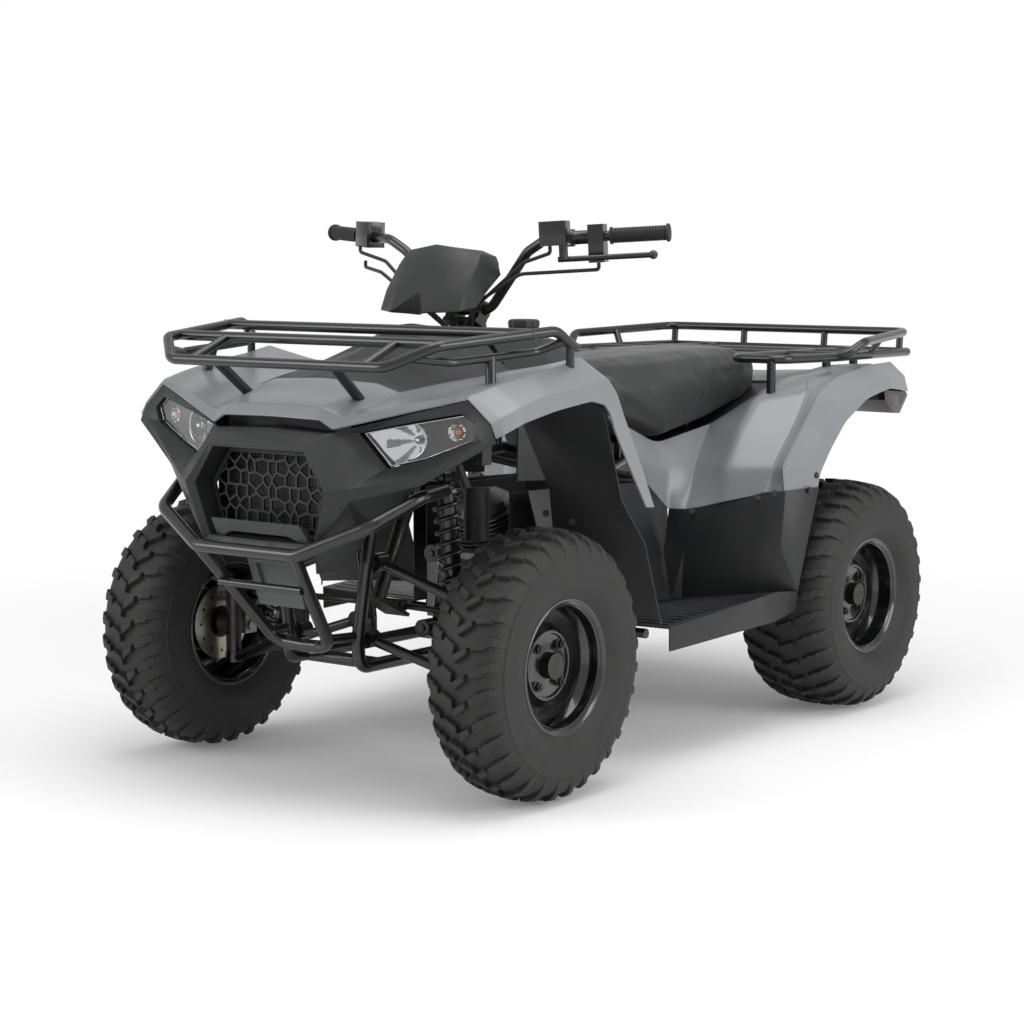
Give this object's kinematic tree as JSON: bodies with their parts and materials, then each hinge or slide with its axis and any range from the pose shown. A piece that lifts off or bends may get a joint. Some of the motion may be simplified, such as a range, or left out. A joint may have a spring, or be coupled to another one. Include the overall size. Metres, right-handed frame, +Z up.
{
  "type": "quad bike",
  "caption": "Utility quad bike with grey panels, black tube carriers front and rear, a padded seat, handlebar steering and lugged tyres.",
  "frame": {"origin": "on the ground, under the middle of the machine's length and width", "axes": "+Z up, the front faces -Y, +X is the rider's left"},
  "size_m": [1.1034, 2.1475, 1.1786],
  "materials": {
    "frame_black": "gloss black tube",
    "engine_metal": "cast",
    "steel": "plain steel",
    "black_plastic": "textured black",
    "grey_plastic": "satin grey",
    "seat_vinyl": "vinyl",
    "lamp_clear": "clear lens",
    "lamp_red": "dark red lens",
    "shock_black": "black",
    "bar_black": "satin black",
    "grip_rubber": "patterned rubber",
    "tyre": "rubber",
    "rim_black": "gloss black"
  },
  "bodies": {
    "chassis": {"frame": "frame_black", "engine": "engine_metal", "bumper": "frame_black", "front_fascia": "black_plastic", "grille": "black_plastic", "front_fender": "grey_plastic", "front_cover": "black_plastic", "tank_cover": "black_plastic", "fuel_cap": "black_plastic", "seat": "seat_vinyl", "rear_fender": "grey_plastic", "front_rack": "frame_black", "rear_rack": "frame_black", "swingarm": "frame_black", "headlight_left": "lamp_clear", "headlight_right": "lamp_clear", "inner_guard_left": "black_plastic", "inner_guard_right": "black_plastic", "footboard_left": "black_plastic", "footboard_right": "black_plastic", "rear_guard_left": "black_plastic", "rear_guard_right": "black_plastic", "tail_lamp_left": "lamp_red", "tail_lamp_right": "lamp_red", "shock_front_left": "shock_black", "shock_front_right": "shock_black", "shock_rear": "shock_black", "bumper_cover": "black_plastic", "canister": "black_plastic", "exhaust": "steel", "a_arms_left": "frame_black", "a_arms_right": "frame_black"},
    "steering": {"steering_stem": "steel", "handlebar": "bar_black", "grips": "grip_rubber", "bar_cover": "black_plastic", "controls": "bar_black", "cables": "grip_rubber"},
    "tie_rod_left": {"tie_rod_left": "steel"},
    "tie_rod_right": {"tie_rod_right": "steel"},
    "knuckle_left": {"knuckle_left": "steel"},
    "knuckle_right": {"knuckle_right": "steel"},
    "front_wheel_left": {"hub_front_left": "steel", "tyre_front_left": "tyre", "rim_front_left": "rim_black"},
    "front_wheel_right": {"hub_front_right": "steel", "tyre_front_right": "tyre", "rim_front_right": "rim_black"},
    "rear_wheels": {"rear_axle": "steel", "tyre_rear_left": "tyre", "rim_rear_left": "rim_black", "tyre_rear_right": "tyre", "rim_rear_right": "rim_black"}
  },
  "joints": [
    {"name": "steering_turn", "type": "hinge", "parent": "chassis", "child": "steering", "pos_m": [0, -0.35, 0.948], "axis": [0, 0.454, 0.891], "range_deg": [-38, 38]},
    {"name": "tie_rod_left_pivot", "type": "hinge", "parent": "steering", "child": "tie_rod_left", "pos_m": [0.018, -0.58982, 0.34517], "axis": [0, 0.454, 0.891], "range_deg": [-41, 41]},
    {"name": "tie_rod_right_pivot", "type": "hinge", "parent": "steering", "child": "tie_rod_right", "pos_m": [-0.018, -0.58982, 0.34517], "axis": [0, 0.454, 0.891], "range_deg": [-41, 41]},
    {"name": "kingpin_left", "type": "hinge", "parent": "chassis", "child": "knuckle_left", "pos_m": [0.385, -0.693, 0.2795], "axis": [0, 0, 1], "range_deg": [-31, 31]},
    {"name": "kingpin_right", "type": "hinge", "parent": "chassis", "child": "knuckle_right", "pos_m": [-0.385, -0.693, 0.2795], "axis": [0, 0, 1], "range_deg": [-31, 31]},
    {"name": "front_wheel_left_spin", "type": "hinge", "parent": "knuckle_left", "child": "front_wheel_left", "pos_m": [0.457, -0.693, 0.2795], "axis": [1, 0, 0], "continuous": true},
    {"name": "front_wheel_right_spin", "type": "hinge", "parent": "knuckle_right", "child": "front_wheel_right", "pos_m": [-0.457, -0.693, 0.2795], "axis": [1, 0, 0], "continuous": true},
    {"name": "rear_axle_spin", "type": "hinge", "parent": "chassis", "child": "rear_wheels", "pos_m": [0, 0.587, 0.2795], "axis": [1, 0, 0], "continuous": true}
  ],
  "couplings": [
    {"joint": "tie_rod_left_pivot", "follows": "steering_turn", "ratio": -1.06},
    {"joint": "tie_rod_right_pivot", "follows": "steering_turn", "ratio": -1.06},
    {"joint": "kingpin_left", "follows": "steering_turn", "ratio": 0.8},
    {"joint": "kingpin_right", "follows": "steering_turn", "ratio": 0.8}
  ]
}
